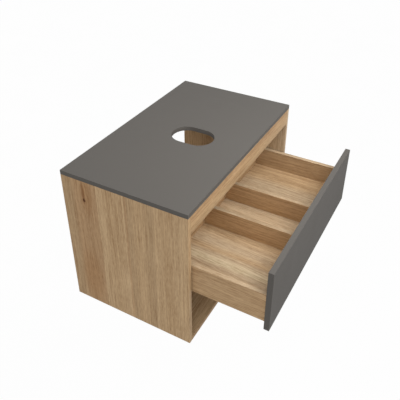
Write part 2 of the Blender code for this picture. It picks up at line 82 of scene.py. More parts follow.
FLOOR_DROP = 1.0  # from the underside of the unit to the floor
STUDIO_REACH = 25.0  # the backdrop's radius and half the floor's width
STUDIO_COLOUR = (0.975, 0.975, 0.975)
STUDIO_DIM = 0.99  # the darkest part of the mottle, as a share of the palest
STUDIO_BASE = (0.02, 0.02, 0.02)
BACKDROP_STEPS = (64, 32)  # round a sphere and from pole to pole

# Soft light from all round the studio: (towards, how tightly it gathers there, power).
SKY_LOBES = (
    ((-1, -1, 1), 3, 0.82),
    ((-1, 0, 1), 3, 1.18),
    ((0, -1, 0), 1, 0.58),
    ((0, 1, 0.4), 3, 0.70),
    ((1, 0.5, 0), 3, 0.55),
    ((0, 0, -1), 3, 0.35),
    ((0, 0, 1), 0, 0.07),
)
LAMP_PLACE = (0.1, -1.2, 1.2)
LAMP_AIM = (0.0, -0.35, 0.05)
LAMP_SIZE = 0.8
LAMP_POWER = 18.0  # watts

# --- Finishes ---

EASE = 0.0005  # the rounding of a board's arrises
EASE_STEPS = 3
SKIN = 0.0006  # how near its box a face lies to be part of a board's outside
WELD = 1e-6
ON_PLANE = WELD * 10  # how near a plane a point lies to be on it
FLAT = math.radians(1)  # faces that turn less than this from each other are one flat face
LARGEST_FACE_ONLY = 100  # the weighted normals' setting that lets the largest face rule a corner
SAME_SIZE = 1e-6  # faces whose areas differ by less, in square metres, share a corner's normal

PARALLEL = 0.99  # the least share of an edge's length along an axis that it is parallel to
SHARP = math.radians(25)  # the least turn between two faces that `rounded` takes for an edge
CREASE = math.radians(50)  # the least turn that is shaded as an edge

X, Y, Z = 0, 1, 2
DECOR, LONG_BAND, END_BAND, CORE = range(4)  # the order of an oak board's materials
SIDES = (("left", -1), ("right", 1))

# Reflected colours of the oak decor, from its palest to its darkest planks.
OAK_ASH = (0.520, 0.410, 0.262)
OAK_CREAM = (0.446, 0.326, 0.205)
OAK_PALE = (0.462, 0.316, 0.178)
OAK_SAND = (0.436, 0.293, 0.161)
OAK_HONEY = (0.424, 0.278, 0.150)
OAK_AMBER = (0.470, 0.295, 0.150)
OAK_GREYED = (0.386, 0.259, 0.143)
OAK_RUSSET = (0.380, 0.239, 0.126)
OAK_DARK_LINE = (0.68, 0.60, 0.50)  # what the darkest and palest grain multiply the plank by
OAK_PALE_LINE = (1.26, 1.30, 1.33)
OAK_PORE = (0.80, 0.74, 0.67)
KNOT_HEART = (0.38, 0.26, 0.18)
KNOT_STREAK = (0.66, 0.54, 0.44)
# The knot's stain colour also darkens the painted shade low at the rear of the left side panel.
KNOT_STAIN_AND_PAINTED_SHADE = (0.90, 0.83, 0.75)

# The knot on the left side panel, and the painted shade low at its rear, in (height, place across the
# panel), and how the
# marks of a knot lie: (ahead of its heart, aside of it, stretch along the grain, reach across it).
KNOT = (UNDERSIDE + 0.460, -0.0885)
# Painted shade: a darker patch low at the rear of the left side panel, standing in for the shade there.
LOW_REAR_PAINTED_SHADE = ((UNDERSIDE + 0.120, -0.085), 3.0, 0.055)
STAIN_MARK = (0.02, -0.010, 3.2, 0.030)
STREAK_MARK = (0.026, 0.001, 8.0, 0.0065)
HEART_MARK = (0.0, 0.0, 1.5, 0.0062)
KNOT_WAVER = 0.008
KNOT_BEND = 0.75  # how far a knot pulls the growth rings round itself
RING_TREMBLE = 0.0022  # how far the rings tremble across a board
RING_SWAY = 0.03  # how far the cut's depth in the tree sways along a board

BAND_HEART = 0.2  # from a band's face to the heart of its tree
LONG_BAND_SEED = 2.1
END_BAND_SEED = 5.3

GREY = (0.0970, 0.0895, 0.0805)
GREY_SPREAD = 0.20  # how far the laminate's mottle runs either side of its colour

# --- Sizes of the fittings' details ---

ROUND_STEPS = 24
CAM_STEPS = 48
HALF_ROUND_STEPS = 8
EDGE_STEPS = 3
THREAD_RINGS = 6  # rings to one turn of a thread
CROSS_TAPER = 0.55  # the bottom of a cross recess, as a share of its mouth
PROUD = 0.0005  # how far a shallow cutter stands out of the face that it cuts
CLEAR = 0.001  # how far a deep one does
DRILL_REACH = 0.003

# Screws, by the radii of shank and head, the shank's length, the head's rise, the thread's pitch and
# the depth of the cross recess. A screw with a CAD node takes what isn't given here from its box.
ADJUSTER = dict(shank=0.0024, rise=0.0022, pitch=0.0009, recess=0.0013)
FRONT_SCREW = dict(shank=0.0020, rise=0.0024, pitch=0.0016, recess=0.0014)
HANGER_FIXING = dict(shank=0.0020, length=0.012, head=0.0038, rise=0.0015, pitch=0.0014, recess=0.0011)
RAIL_FIXING = dict(HANGER_FIXING, shank=0.0018, length=0.013, head=0.0036)
CLIP_FIXING = dict(shank=0.0016, length=0.006, head=0.0029, rise=0.0014, pitch=0.0012, recess=0.0010)
SCREW_TIP = 0.2  # shares of the shank's radius: its tip, tapered end, thread and neck
SCREW_TAPER = 1.6
SCREW_THREAD = 0.24
SCREW_NECK = 0.8
PAN_HEAD = ((1.0, 0.02), (1.0, 0.45), (0.93, 0.72), (0.76, 0.92), (0.5, 1.0))  # shares of radius, height
CROSS_REACH = 0.62  # shares of the head's radius
CROSS_WIDTH = 0.26

CAM_RADIUS = 0.0075
CAM_THICKNESS = 0.0125
CAM_CHAMFER = 0.0004
CAM_RIM = 0.0010
CAM_FLANK = 0.0002  # the width of the slopes beside the rim and the boss
CAM_DISH = 0.0005
CAM_BOSS = 0.0044
CAM_BORE = 0.0038
CAM_AXIS_DEPTH = 0.008
CAM_CROSS_REACH = 0.0034
CAM_CROSS_WIDTH = 0.0012
CAM_ARROW = ((0.0048, -0.0008), (0.0061, 0.0), (0.0048, 0.0008))
CAM_ARROW_DEPTH = 0.0009

# A cam bolt's outline in (radius, place) rings: the tip's places are from its own end, the shoulder's
# and the collar's from the collar's seat, and the stem's from the end of the head.
BOLT_TIP = ((0.0012, 0.0), (0.0018, 0.0006))
BOLT_TAPER = 0.0012
BOLT_THREAD_LENGTH = 0.011
BOLT_THREAD_RADIUS = 0.0027
BOLT_THREAD_DEPTH = 0.0006
BOLT_PITCH = 0.0014
BOLT_NECK = 0.0010
BOLT_SHOULDER = ((0.0021, -0.0008), (0.0021, -0.0002), (0.0028, 0.0), (0.0030, 0.0002))
BOLT_COLLAR = ((0.0030, 0.0012), (0.0026, 0.0014))
BOLT_STEM = ((0.0026, -0.0120), (0.0022, -0.0105), (0.0022, -0.0038), (0.0023, -0.0034))
BOLT_HEAD_CORE = 0.0020
BOLT_HEAD_BULGE = 0.0015
BOLT_HEAD_HALF = 0.0017
BOLT_HEAD_TURNS = range(-50, 71, 20)  # degrees round the ball from its equator

HOUSING_EDGE = 0.0012
HOUSING_WALL = 0.003
HOUSING_HALF_RIB = 0.0012
HOUSING_CORE = (0.019, 0.021)  # the first pockets' end and the second ones' start, from the front
HOUSING_LAND = 0.014  # left solid at the rear end, for the fixing screws
HOUSING_POCKET = 0.0028
HOUSING_POCKET_CORNER = 0.0020
HOUSING_SEAT_INSET = 0.0075
HOUSING_SEAT_LIFT = 0.0185
HOUSING_SEAT_RADIUS = 0.0042
SEAT_DEPTH = 0.0016
HOOK_EDGE = 0.0007

RAIL_SHEET = 0.0014
RAIL_EDGE = 0.0006
RAIL_FIXINGS = (0.020, 0.116, 0.244, 0.340)  # from the runner's front end
RAIL_HOLE_DROP = 0.0105  # from the top edge to the row of holes
RAIL_SLOT = (0.0090, 0.0046, 0.008)  # a slot's length and width, and its cutter's depth
RAIL_SPARE_HOLE = (0.0050, 0.0042, 0.008)
RAIL_SPARE_STEP = 0.016
CABINET_SLOTS = (-0.120, -0.040, 0.040, 0.120)  # from the rail's middle
CABINET_SLOT = (0.046, 0.0060, 0.010)
CABINET_SLOT_INSET = 0.013
BEAD_INSETS = (0.0055, 0.0200)
BEAD = (0.0024, 0.0030)  # width and thickness
BEAD_LIFT = 0.0011
BEAD_MARGIN = 0.012
BEAD_EDGE = 0.0007
DRAWER_SLOTS = (-0.150, -0.050, 0.050, 0.150)
DRAWER_SLOT = (0.022, 0.0050, 0.040)
DRAWER_SLOT_LIFT = 0.0075
RUNNING_GROOVE = 0.0030
MIDDLE_RAIL_CORNER = 0.0012
MIDDLE_RAIL_OVERRUN = 0.01  # how far the cutter of its hollow passes its ends
BALL_RADIUS = 0.0024
BALL_PLAY = 0.0001
BALL_STEPS = (20, 12)
BALLS = 12
BALL_FIRST = 0.040
BALL_STEP = 0.024
CAGE_SHEET = 0.0009
CAGE_HALF_HEIGHT = 0.0038
CAGE_END = 0.008  # how far a cage runs on past its last ball
CAGE_EDGE = 0.0003
CAGE_WINDOW = BALL_RADIUS + 0.0002

CLIP_HEIGHT = 0.0134
CLIP_EDGE = 0.0008
CLIP_POCKETS = 3
CLIP_POCKET_FIRST = 0.0040
CLIP_POCKET_STEP = 0.0175
CLIP_POCKET_LENGTH = 0.0150
CLIP_POCKET_NEAR = 0.0025  # from the clip's inner flank
CLIP_POCKET_FAR = 0.0095
CLIP_POCKET_DEPTH = 0.0060
CLIP_POCKET_CORNER = 0.0010
CLIP_SEAT_DEPTH = 0.0058
CLIP_GRIPS = 4
CLIP_GRIP_FIRST = 0.010
CLIP_GRIP_STEP = 0.011
CLIP_GRIP_LENGTH = 0.004
CLIP_GRIP_DEPTH = 0.0008
CLIP_GRIP_FOOT = 0.003
CLIP_GRIP_TOP = 0.002
LEVER_EDGE = 0.0005
RIDGES = 5
RIDGE_FIRST = 0.0030
RIDGE_STEP = 0.0022
RIDGE_WIDTH = 0.0010
RIDGE_DEPTH = 0.0007


# --- Shader building ---


class Signal:
    """A shader socket that adds, subtracts and multiplies like a number."""

    def __init__(self, shader, socket):
        self.shader = shader
        self.socket = socket

    def __add__(self, other):
        return self.shader.math("ADD", self, other)

    def __sub__(self, other):
        return self.shader.math("SUBTRACT", self, other)

    def __mul__(self, other):
        return self.shader.math("MULTIPLY", self, other)

    __radd__ = __add__
    __rmul__ = __mul__

    def swing(self, reach):
        """A noise's share of a sum: it swings round zero, its whole span scaled to `reach`."""
        return (self - 0.5) * reach


class Shader:
    """One material's node tree, built with one short call for each node."""

    def __init__(self, name):
        self.material = bpy.data.materials.new(name)
        self.material.use_nodes = True
        self.tree = self.material.node_tree
        self.surface = self.tree.nodes["Principled BSDF"]

    def feed(self, socket, value):
        if isinstance(value, Signal):
            self.tree.links.new(value.socket, socket)
        elif isinstance(value, tuple) and socket.type == "RGBA":
            socket.default_value = (*value, 1.0)
        else:
            socket.default_value = value

    def node(self, kind, inputs, output=0, **settings):
        made = self.tree.nodes.new(kind)
        for key, value in settings.items():
            setattr(made, key, value)
        for key, value in inputs.items():
            self.feed(made.inputs[key], value)
        return Signal(self, made.outputs[output])

    def math(self, operation, a, b=0.0):
        return self.node("ShaderNodeMath", {0: a, 1: b}, operation=operation)

    def place(self, order):
        """The coordinates of the shaded point, in metres, along the axes in `order`."""
        point = self.node("ShaderNodeTexCoord", {}, "Object")
        split = self.tree.nodes.new("ShaderNodeSeparateXYZ")
        self.tree.links.new(point.socket, split.inputs[0])
        return [Signal(self, split.outputs[axis]) for axis in order]

    def vector(self, x, y, z):
        return self.node("ShaderNodeCombineXYZ", {0: x, 1: y, 2: z})

    def noise(self, x, y, z, detail=2.0, roughness=0.5):
        inputs = {"Vector": self.vector(x, y, z), "Scale": 1.0, "Detail": detail, "Roughness": roughness}
        return self.node("ShaderNodeTexNoise", inputs, "Fac")

    def speckle(self, rate, detail=2.0, roughness=0.5):
        """Noise that is alike in every direction, of `rate` cycles per metre."""
        x, y, z = self.place((X, Y, Z))
        return self.noise(x * rate, y * rate, z * rate, detail, roughness)

    def remap(self, value, low, high, to_low=0.0, to_high=1.0, smooth=False):
        kind = "SMOOTHSTEP" if smooth else "LINEAR"
        inputs = {0: value, 1: low, 2: high, 3: to_low, 4: to_high}
        return self.node("ShaderNodeMapRange", inputs, interpolation_type=kind)

    def ramp(self, value, stops, kind="LINEAR"):
        """A colour ramp over rising (position, colour) stops."""
        made = self.tree.nodes.new("ShaderNodeValToRGB")
        ramp = made.color_ramp
        ramp.interpolation = kind
        while len(ramp.elements) < len(stops):
            ramp.elements.new(0.5)
        for element, (position, colour) in zip(ramp.elements, stops):
            element.position = position
            element.color = (*colour, 1.0)
        self.feed(made.inputs[0], value)
        return Signal(self, made.outputs[0])

    def blend(self, factor, a, b, kind="MIX"):
        inputs = {"Factor": factor, 6: a, 7: b}
        return self.node("ShaderNodeMix", inputs, 2, data_type="RGBA", blend_type=kind)

    def tint(self, colour, by, factor=1.0):
        """The colour multiplied by another one, as far as the factor goes."""
        return self.blend(factor, colour, by, "MULTIPLY")

    def bump(self, height, depth, distance=0.001):
        inputs = {"Strength": depth, "Distance": distance, "Height": height}
        return self.node("ShaderNodeBump", inputs)

    def finish(self, **inputs):
        for key, value in inputs.items():
            self.feed(self.surface.inputs[key.replace("_", " ")], value)
        return self.material


# --- Materials ---
# Coordinates are in metres, so what a coordinate is multiplied by on its way into a noise is the
# noise's rate, in cycles per metre.


def knot_pull(shader, along, across, knot, stretch=3.0, reach=0.030):
    """How near the point is to a knot, from 0 at its reach to 1 at its heart."""
    run = (along - knot[0]) * (1 / (reach * stretch))
    off = (across - knot[1]) * (1 / reach)
    return shader.remap(run * run + off * off, 0.0, 1.0, 1.0, 0.0, smooth=True)


def knotted(shader, colour, along, across, knot):
    """The colour with a small dark knot in it and the stained streak that runs on above it."""
    bent = across + shader.noise(along * 60.0, across * 20.0, 0.0).swing(KNOT_WAVER)

    def mark(ahead, aside, stretch, reach):
        return knot_pull(shader, along, bent, (knot[0] + ahead, knot[1] + aside), stretch, reach)

    colour = shader.tint(colour, KNOT_STAIN_AND_PAINTED_SHADE, mark(*STAIN_MARK))
    colour = shader.tint(colour, KNOT_STREAK, mark(*STREAK_MARK))
    return shader.tint(colour, KNOT_HEART, shader.remap(mark(*HEART_MARK), 0.10, 0.70))


def plank_tone(shader, across, planks, low, high):
    """The plank's colour at the point, from (place from the board's low edge, colour) stops."""
    if len(planks) == 1:
        return planks[0][1]
    stops = [(place / (high - low), colour) for place, colour in planks]
    return shader.ramp(shader.remap(across, low, high), stops, "EASE")


def ring_field(shader, along, across, through, figure, knots):
    """The distance from the tree's heart: its level lines are the growth rings that the saw cut."""
    seed = figure["seed"]
    wander = shader.noise(along * 2.0 + seed, across * 7.0 + seed, through * 7.0)
    tremble = shader.noise(along * 14.0 + seed, across * 60.0, through * 60.0 + seed)
    off = across - figure["heart"] + wander.swing(figure["wander"]) + tremble.swing(RING_TREMBLE)
    for knot in knots:
        off = off - (across - knot[1]) * knot_pull(shader, along, across, knot) * KNOT_BEND
    sway = shader.noise(along * 3.0 + seed, seed, 0.0)
    rise = along * figure["taper"] + sway.swing(RING_SWAY) + figure["depth"]
    return shader.math("SQRT", off * off + rise * rise)


def oak_figure(shader, along, across, through, ring, seed):
    """The figure that the rings draw on a board: its light and dark grain, its fibres and its pores."""
    deep = through + seed

    def layer(along_rate, ring_rate, detail=1.0, roughness=0.5):
        return shader.noise(along * along_rate + seed, ring * ring_rate, deep * ring_rate, detail, roughness)

    bands = layer(0.9, 34.0)
    rings = layer(3.5, 150.0)
    lines = layer(8.0, 330.0)
    dashes = layer(45.0, 260.0)
    fibres = layer(12.0, 850.0, 2.0, 0.6)
    blotch = shader.noise(along * 9.0 + seed, across * 22.0, through * 22.0 + seed, 2.0)
    grain = bands.swing(0.32) + rings.swing(0.50) + lines.swing(0.80) + dashes.swing(0.60)
    grain = grain + fibres.swing(0.45) + blotch.swing(0.24)
    pores = shader.noise(along * 55.0, ring * 1700.0, deep * 1700.0, 1.0)
    pore = shader.remap(pores - rings.swing(0.3), 0.58, 0.70, smooth=True)
    return grain, fibres, pore


def oak_material(name, order, low, high, planks, figure, knots=()):
    """Oak decor: planks of different tone, growth rings and fibres, open pores and knots."""
    shader = Shader(name)
    along, across, through = shader.place(order)
    ring = ring_field(shader, along, across, through, figure, knots)
    grain, fibres, pore = oak_figure(shader, along, across, through, ring, figure["seed"])
    colour = plank_tone(shader, across, planks, low, high)
    grain_stops = [(0.15, OAK_DARK_LINE), (0.5, (1.0, 1.0, 1.0)), (0.85, OAK_PALE_LINE)]
    colour = shader.tint(colour, shader.ramp(grain + 0.5, grain_stops))
    colour = shader.tint(colour, OAK_PORE, pore)
    # Painted shade: patches of the board darkened to stand in for shade.
    for place, stretch, reach in figure["painted_shade_patches"]:
        patch = knot_pull(shader, along, across, place, stretch, reach)
        colour = shader.tint(colour, KNOT_STAIN_AND_PAINTED_SHADE, patch)
    for knot in knots:
        colour = knotted(shader, colour, along, across, knot)
    return shader.finish(
        Base_Color=colour,
        Roughness=shader.remap(fibres, 0.3, 0.7, 0.50, 0.60) + pore * 0.10,
        Normal=shader.bump(fibres * 0.5 - pore * 0.6, 0.25, 0.0004),
        Specular_IOR_Level=0.35,
    )


def chipboard_material():
    """The raw core of a board: pressed chips with dark flecks."""
    shader = Shader("chipboard")
    chips = shader.speckle(700, 3.0, 0.7)
    flecks = shader.speckle(1600, 1.0)
    stops = [(0.30, (0.22, 0.13, 0.065)), (0.50, (0.45, 0.31, 0.18)), (0.70, (0.60, 0.45, 0.29))]
    colour = shader.ramp(chips, stops)
    colour = shader.tint(colour, (0.55, 0.45, 0.36), shader.remap(flecks, 0.62, 0.70))
    return shader.finish(Base_Color=colour, Roughness=0.85, Normal=shader.bump(chips, 0.8, 0.0008))


def grey_material():
    """Warm grey laminate: a matt skin with a fine pearl, a faint cloudiness and a slight rub."""
    shader = Shader("grey_laminate")
    cloud = shader.speckle(7, 3.0, 0.6)
    pearl = shader.speckle(1400, 2.0, 0.6)
    speck = shader.speckle(420)
    tone = cloud.swing(0.10) + pearl.swing(0.16) + speck.swing(0.10) + 0.5
    dark = tuple(channel * (1 - GREY_SPREAD) for channel in GREY)
    pale = tuple(channel * (1 + GREY_SPREAD) for channel in GREY)
    colour = shader.ramp(tone, [(0.0, dark), (1.0, pale)])
    gloss = shader.remap(cloud, 0.3, 0.7, 0.56, 0.66)
    return shader.finish(
        Base_Color=colour,
        Roughness=gloss,
        Normal=shader.bump(pearl, 0.20, 0.0003),
        Specular_IOR_Level=0.30,
    )


def steel_material():
    """Galvanised sheet steel: soft spangle and fine rolling lines along Y."""
    shader = Shader("galvanised_steel")
    x, y, z = shader.place((X, Y, Z))
    spangle = shader.noise(x * 160, y * 110, z * 160, 2.0, 0.7)
    rolled = shader.noise(x * 2600, y * 30, z * 2600, 1.0)
    tone = spangle.swing(0.6) + rolled.swing(0.4) + 0.5
    colour = shader.ramp(tone, [(0.2, (0.60, 0.61, 0.63)), (0.8, (0.80, 0.81, 0.83))])
    gloss = shader.remap(spangle, 0.3, 0.7, 0.34, 0.52)
    return shader.finish(
        Base_Color=colour, Roughness=gloss, Metallic=0.8, Normal=shader.bump(rolled, 0.15, 0.0002)
    )


def zinc_material():
    """Dull cast and plated zinc, a little uneven from the mould."""
    shader = Shader("cast_zinc")
    cast = shader.speckle(500, 3.0, 0.6)
    patch = shader.speckle(60)
    tone = cast.swing(0.5) + patch.swing(0.6) + 0.5
    colour = shader.ramp(tone, [(0.2, (0.50, 0.50, 0.50)), (0.8, (0.74, 0.74, 0.73))])
    gloss = shader.remap(cast, 0.3, 0.7, 0.38, 0.55)
    return shader.finish(
        Base_Color=colour, Roughness=gloss, Metallic=0.8, Normal=shader.bump(cast, 0.25, 0.0003)
    )


def plastic_material():
    """Dark moulded plastic with a spark-eroded grain."""
    shader = Shader("moulded_plastic")
    eroded = shader.speckle(2200, 2.0, 0.6)
    cloud = shader.speckle(40)
    tone = eroded.swing(0.4) + cloud.swing(0.4) + 0.5
    colour = shader.ramp(tone, [(0.2, (0.030, 0.030, 0.033)), (0.8, (0.055, 0.055, 0.060))])
    gloss = shader.remap(eroded, 0.3, 0.7, 0.42, 0.58)
    return shader.finish(Base_Color=colour, Roughness=gloss, Normal=shader.bump(eroded, 0.4, 0.0003))


# --- Meshes ---


def add_object(name, data):
    """A new object in the scene."""
    made = bpy.data.objects.new(name, data)
    bpy.context.scene.collection.objects.link(made)
    return made


def mesh_of(name, work):
    """A mesh with the shape of the bmesh, which is freed."""
    mesh = bpy.data.meshes.new(name)
    work.to_mesh(mesh)
    work.free()
    return mesh


def solid_of(node):
    """A bmesh of a CAD node's solid, with its corners joined and its flat faces whole."""
    work = bmesh.new()
    work.from_mesh(frame["nodes"][node].data)
    bmesh.ops.remove_doubles(work, verts=work.verts, dist=WELD)
    bmesh.ops.dissolve_limit(work, angle_limit=FLAT, verts=work.verts, edges=work.edges)
    return work


def piece_from(work, name, body, slot, materials=None):
    """A piece from a bmesh, riding on a body; flat faces keep their own normals beside rounded ones."""
    mesh = mesh_of(name, work)
    inherited = mesh.attributes.get("custom_normal")
    if inherited:
        mesh.attributes.remove(inherited)
    for material in materials or [FINISH_OF[slot]]:
        mesh.materials.append(material)
    mesh.shade_smooth()
    mesh.set_sharp_from_angle(angle=CREASE)
    piece = add_object(name, mesh)
    shading = piece.modifiers.new("flat_faces", "WEIGHTED_NORMAL")
    shading.keep_sharp = True
    shading.weight = LARGEST_FACE_ONLY
    shading.thresh = SAME_SIZE
    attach(piece, body)
    return piece


def on_planes(point, low, high):
    """How many of a box's six planes the point lies on."""
    return sum(
        min(abs(point[axis] - low[axis]), abs(point[axis] - high[axis])) < ON_PLANE for axis in (X, Y, Z)
    )


def outer_edge(low, high):
    """A test for the edges whose two ends lie on edges of the box."""

    def test(edge):
        return all(on_planes(end.co, low, high) >= 2 for end in edge.verts)

    return test


def round_edges(work, edges, radius, steps):
    bmesh.ops.bevel(
        work, geom=edges, offset=radius, segments=steps, profile=0.5, affect="EDGES", clamp_overlap=True
    )


def ease_outline(work, low, high):
    """Rounds the arrises along the box's own edges and leaves the bores and grooves sharp."""
    on_box = outer_edge(low, high)
    outer = []
    for edge in work.edges:
        middle = (edge.verts[0].co + edge.verts[1].co) / 2
        if on_box(edge) and on_planes(middle, low, high) >= 2:
            outer.append(edge)
    round_edges(work, outer, EASE, EASE_STEPS)


def side_of(face, low, high):
    """The axis of the side of its box that a face lies on, or None inside a bore or a groove."""
    axis = max((X, Y, Z), key=lambda item: abs(face.normal[item]))
    plane = high[axis] if face.normal[axis] > 0 else low[axis]
    if abs(face.calc_center_median()[axis] - plane) > SKIN:
        return None
    return axis


# --- Boards ---


def figure_of(seed, heart, depth=0.02, taper=0.05, wander=0.012, painted_shade_patches=()):
    """How a board was sawn and where painted shade darkens it: its heart's place across it in the frame, its
    depth, and so on.

    The taper is how fast the depth changes along the board, and the wander how far the rings stray.
    """
    return dict(seed=seed, heart=heart, depth=depth, taper=taper, wander=wander, painted_shade_patches=painted_shade_patches)


def oak_board(node, grain, planks, figure, knots=(), band=None):
    """An oak-decor board: decor on its faces and bands, with the grain along every band.

    The planks are (place across the board from its low edge, colour) stops.
    """
    low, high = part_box(node)
    size = high - low
    thin = min((X, Y, Z), key=lambda axis: size[axis])
    wide = ({X, Y, Z} - {grain, thin}).pop()
    work = solid_of(node)
    ease_outline(work, low, high)
    work.normal_update()
    look_of = {thin: DECOR, wide: LONG_BAND, grain: END_BAND, None: CORE}
    for face in work.faces:
        face.material_index = look_of[side_of(face, low, high)]
    seed = figure["seed"]
    bands = [(0.0, band or planks[0][1])]
    beside = low[thin] - BAND_HEART
    long_figure = figure_of(seed + LONG_BAND_SEED, beside)
    end_figure = figure_of(seed + END_BAND_SEED, beside)
    looks = [
        oak_material(f"{node}_decor", (grain, wide, thin), low[wide], high[wide], planks, figure, knots),
        oak_material(f"{node}_long_band", (grain, thin, wide), 0, 0, bands, long_figure),
        oak_material(f"{node}_end_band", (wide, thin, grain), 0, 0, bands, end_figure),
        CHIPBOARD,
    ]
    piece = piece_from(work, f"{node}_board", BODY_OF[node], "oak_board", looks)
    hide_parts(node)


def grey_board(node):
    """A board with grey laminate on every side."""
    low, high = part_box(node)
    work = solid_of(node)
    ease_outline(work, low, high)
    piece = piece_from(work, f"{node}_board", BODY_OF[node], "grey_board")
    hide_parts(node)


def add_case_boards():
    """The oak boards of the case."""
    left_planks = [
        (0.0, OAK_SAND),
        (0.040, OAK_PALE),
        (0.080, OAK_SAND),
        (0.118, OAK_PALE),
        (0.128, OAK_GREYED),
        (0.180, OAK_SAND),
        (0.219, OAK_GREYED),
        (0.227, OAK_RUSSET),
        (0.233, OAK_PALE),
        (0.290, OAK_SAND),
        (0.337, OAK_PALE),
        (0.343, OAK_RUSSET),
        (0.420, OAK_RUSSET),
        (0.450, OAK_GREYED),
    ]
    # The left panel's darker patch low at the rear is painted shade.
    left_figure = figure_of(1.7, 0.25, painted_shade_patches=[LOW_REAR_PAINTED_SHADE])
    oak_board("side_panel_left", Z, left_planks, left_figure, [KNOT], OAK_SAND)
    right_planks = [(0.0, OAK_CREAM), (0.080, OAK_PALE), (0.180, OAK_AMBER), (0.360, OAK_AMBER)]
    oak_board("side_panel_right", Z, right_planks, figure_of(8.1, -0.75))
    bottom_planks = [(0.0, OAK_PALE), (0.280, OAK_HONEY)]
    oak_board("bottom_panel", X, bottom_planks, figure_of(4.4, -0.25), band=OAK_RUSSET)
    # The russet band along the front rail's top is a painted shadow under the countertop's edge.
    rail_planks_with_painted_shadow = [(0.0, OAK_GREYED), (0.0225, OAK_SAND), (0.0375, OAK_HONEY), (0.0575, OAK_RUSSET)]
    oak_board("front_rail", X, rail_planks_with_painted_shadow, figure_of(12.9, -0.30))
    oak_board("back_rail", X, [(0.0, OAK_HONEY)], figure_of(3.3, -0.30))
    niche_planks = [(0.0, OAK_HONEY), (0.0962, OAK_SAND)]
    oak_board("niche_back", X, niche_planks, figure_of(6.6, -0.32))


def add_drawer_boards():
    """The oak boards of the drawer's box."""
    floor_planks = [
        (0.003, OAK_HONEY),
        (0.053, OAK_SAND),
        (0.088, OAK_CREAM),
        (0.111, OAK_ASH),
        (0.145, OAK_CREAM),
        (0.158, OAK_PALE),
        (0.193, OAK_CREAM),
        (0.263, OAK_PALE),
        (0.463, OAK_CREAM),
        (0.603, OAK_CREAM),
        (0.653, OAK_SAND),
        (0.713, OAK_SAND),
    ]
    oak_board("drawer_floor", Y, floor_planks, figure_of(9.2, -0.62, depth=0.03, taper=0.25, wander=0.035))
    plain = [(0.0, OAK_HONEY)]
    oak_board("drawer_inner_front", X, plain, figure_of(2.2, 0.3), band=OAK_CREAM)
    oak_board("drawer_back", X, plain, figure_of(5.8, 0.3), band=OAK_CREAM)
    for side, box_seed, divider_seed in (("left", 7.1, 11.4), ("right", 10.0, 14.3)):
        oak_board(f"drawer_side_{side}", Y, plain, figure_of(box_seed, 0.3), band=OAK_CREAM)
        divider_figure = figure_of(divider_seed, 0.3)
        oak_board(f"divider_{side}", Y, [(0.0, OAK_AMBER)], divider_figure, band=OAK_CREAM)


def add_boards():
    add_case_boards()
    add_drawer_boards()
    grey_board("countertop")
    grey_board("drawer_front")


# --- Shapes for the fittings ---


def frame_at(origin, x_axis, z_axis):
    """The matrix of a frame at `origin` whose own X and Z lie along two square directions."""
    x_axis, z_axis = Vector(x_axis), Vector(z_axis)
    turn = Matrix((x_axis, z_axis.cross(x_axis), z_axis)).transposed()
    return Matrix.Translation(origin) @ turn.to_4x4()


def turned(rings, pitch=1.0, steps=ROUND_STEPS):
    """A solid turned about Z from (radius, height, thread depth) rings, threaded where it has depth."""
    work = bmesh.new()
    loops = []
    for radius, height, depth in rings:
        loop = []
        for step in range(steps):
            angle = math.tau * step / steps
            sink = abs(2 * ((height / pitch - step / steps) % 1.0) - 1)
            reach = radius - depth * sink
            loop.append(work.verts.new((reach * math.cos(angle), reach * math.sin(angle), height)))
        loops.append(loop)
    for lower, upper in zip(loops, loops[1:]):
        for step in range(steps):
            after = (step + 1) % steps
            work.faces.new((lower[step], lower[after], upper[after], upper[step]))
    work.faces.new(reversed(loops[0]))
    work.faces.new(loops[-1])
    return work


def thread(radius, low, high, pitch, depth):
    """The rings of a screw thread between two heights."""
    count = round((high - low) / pitch * THREAD_RINGS)
    return [(radius, low + (high - low) * number / count, depth) for number in range(count + 1)]


def prism(outline, low, high, foot=1.0):
    """An (x, y) outline raised from `low` to `high`, its lower end scaled by `foot`."""
    work = bmesh.new()
    lower = [work.verts.new((x * foot, y * foot, low)) for x, y in outline]
    upper = [work.verts.new((x, y, high)) for x, y in outline]
    count = len(outline)
    for number in range(count):
        after = (number + 1) % count
        work.faces.new((lower[number], lower[after], upper[after], upper[number]))
    work.faces.new(reversed(lower))
    work.faces.new(upper)
    bmesh.ops.recalc_face_normals(work, faces=work.faces)
    return work


def block(corner, opposite):
    """A box between two opposite corners."""
    corner, opposite = Vector(corner), Vector(opposite)
    size = opposite - corner
    shape = Matrix.Diagonal((abs(size.x), abs(size.y), abs(size.z), 1.0))
    work = bmesh.new()
    bmesh.ops.create_cube(work, size=1.0, matrix=Matrix.Translation((corner + opposite) / 2) @ shape)
    return work


def oblong(length, width, thick, place):
    """A cutter for an oblong hole: its length along the frame's X and its axis along Z."""
    radius = width / 2
    straight = length / 2 - radius
    outline = []
    for centre, start in ((straight, -math.pi / 2), (-straight, math.pi / 2)):
        for step in range(HALF_ROUND_STEPS + 1):
            angle = start + math.pi * step / HALF_ROUND_STEPS
            outline.append((centre + radius * math.cos(angle), radius * math.sin(angle)))
    work = prism(outline, -thick / 2, thick / 2)
    work.transform(place)
    return work


def drill(radius, low, high, place):
    """A cutter for a round hole along the frame's Z."""
    work = turned([(radius, low, 0.0), (radius, high, 0.0)])
    work.transform(place)
    return work


def cross(reach, width, low, high):
    """A tapered cross, the shape of a screwdriver's tip."""
    half = width / 2
    arm = [(reach, -half), (reach, half), (half, half)]
    outline = []
    for turn in range(4):
        for x, y in arm:
            for _ in range(turn):
                x, y = -y, x
            outline.append((x, y))
    return prism(outline, low, high, CROSS_TAPER)


